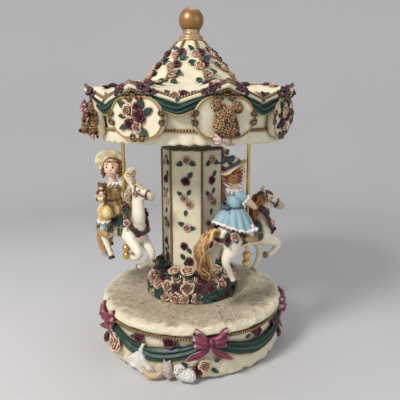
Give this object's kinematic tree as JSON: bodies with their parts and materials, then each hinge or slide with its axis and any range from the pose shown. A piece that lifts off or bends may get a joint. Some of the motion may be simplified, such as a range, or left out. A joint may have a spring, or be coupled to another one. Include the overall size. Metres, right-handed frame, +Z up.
{
  "type": "wind-up carousel music box",
  "caption": "Wind-up music box shaped as a carousel: a shaft turns the flower-trimmed canopy and its horses above a round base with a winding key underneath.",
  "frame": {"origin": "on the carousel's turning axis, level with the underside of the felt feet", "axes": "+Z up along the turning axis, -Y towards the front"},
  "size_m": [0.1982, 0.1982, 0.3182],
  "materials": {
    "cream": "hand-painted matt, antiqued",
    "stone": "hand-painted matt, antiqued",
    "gold_trim": "hand-painted matt, antiqued",
    "green_cloth": "hand-painted matt, antiqued",
    "ribbon": "hand-painted matt, antiqued",
    "burgundy": "hand-painted matt, antiqued",
    "peach": "hand-painted matt, antiqued",
    "leaf": "hand-painted matt, antiqued",
    "relief": "hand-painted matt, antiqued",
    "felt": "soft",
    "fibreboard": "smooth, dark",
    "steel": "bright zinc plated",
    "heap_brown": "hand-painted matt, antiqued",
    "column_top": "hand-painted matt, antiqued",
    "brass": "polished",
    "zinc": "as cast",
    "comb_steel": "ground",
    "white_plastic": "moulded",
    "spring_steel": "hand-painted matt, antiqued",
    "card": "hand-painted matt, antiqued",
    "plaque": "hand-painted matt, antiqued",
    "fur": "hand-painted matt, antiqued",
    "finial_cream": "painted satin pale gold",
    "finial_gold": "painted satin antique gold",
    "horse": "hand-painted matt, antiqued",
    "saddle": "hand-painted matt, antiqued",
    "coat": "hand-painted matt, antiqued",
    "dress": "hand-painted matt, antiqued",
    "jacket": "hand-painted matt, antiqued"
  },
  "bodies": {
    "base": {"base_shell": "cream", "base_deck": "stone", "base_rope": "gold_trim", "base_swag": "green_cloth", "base_bows": "ribbon", "base_roses": "peach", "base_leaves": "leaf", "base_figures": "relief", "felt_feet": "felt", "bottom_plate": "fibreboard", "bottom_screws": "steel", "rose_heap": "heap_brown", "heap_roses_burgundy": "burgundy", "heap_roses_peach": "peach", "heap_leaves": "leaf", "column": "cream", "column_cap": "column_top", "column_rope": "gold_trim", "column_roses": "burgundy", "column_leaves": "leaf", "column_bush": "brass", "movement_bedplate": "zinc", "movement_screws": "steel", "barrel_bridge": "zinc", "comb": "comb_steel", "cylinder_posts": "brass", "governor_frame": "white_plastic"},
    "click": {"ratchet_click": "steel"},
    "key": {"winding_key": "brass", "key_arbor": "steel"},
    "carousel": {"spring_barrel": "brass", "mainspring": "spring_steel", "drive_shaft": "steel", "canopy_hub": "steel", "canopy_floor": "card", "canopy_shell": "cream", "canopy_rope": "gold_trim", "canopy_swag": "green_cloth", "medallions": "plaque", "medallion_roses": "burgundy", "bear_heads": "fur", "canopy_roses": "burgundy", "canopy_leaves": "leaf", "finial_collar": "finial_cream", "finial": "finial_gold", "horse_rods": "brass", "rod_balls": "brass", "horse_1": "horse", "saddle_1": "saddle", "rider_1": "coat", "horse_2": "horse", "saddle_2": "saddle", "rider_2": "dress", "horse_3": "horse", "saddle_3": "saddle", "rider_3": "jacket"},
    "cylinder": {"pinned_cylinder": "brass"},
    "governor_wheel": {"governor_wheel": "brass"},
    "governor_fly": {"governor_fly": "steel"}
  },
  "joints": [
    {"name": "carousel_spin", "type": "hinge", "parent": "base", "child": "carousel", "pos_m": [0, 0, 0.192], "axis": [0, 0, 1], "continuous": true},
    {"name": "key_wind", "type": "hinge", "parent": "base", "child": "key", "pos_m": [0, 0, 0.016], "axis": [0, 0, 1], "continuous": true},
    {"name": "cylinder_spin", "type": "hinge", "parent": "base", "child": "cylinder", "pos_m": [0.03, 0, 0.03425], "axis": [1, 0, 0], "continuous": true},
    {"name": "governor_wheel_spin", "type": "hinge", "parent": "base", "child": "governor_wheel", "pos_m": [0.041, 0.012, 0.03425], "axis": [1, 0, 0], "continuous": true},
    {"name": "governor_fly_spin", "type": "hinge", "parent": "base", "child": "governor_fly", "pos_m": [0.04175, 0.02025, 0.03], "axis": [0, 0, 1], "continuous": true},
    {"name": "click_rock", "type": "hinge", "parent": "base", "child": "click", "pos_m": [-0.011, -0.0095, 0.0182], "axis": [0, 0, 1], "range_deg": [-12, 0], "stiffness_Nm_per_rad": 0.002}
  ],
  "couplings": [
    {"joint": "cylinder_spin", "follows": "carousel_spin", "ratio": 3},
    {"joint": "governor_wheel_spin", "follows": "carousel_spin", "ratio": -9},
    {"joint": "governor_fly_spin", "follows": "carousel_spin", "ratio": -54}
  ]
}
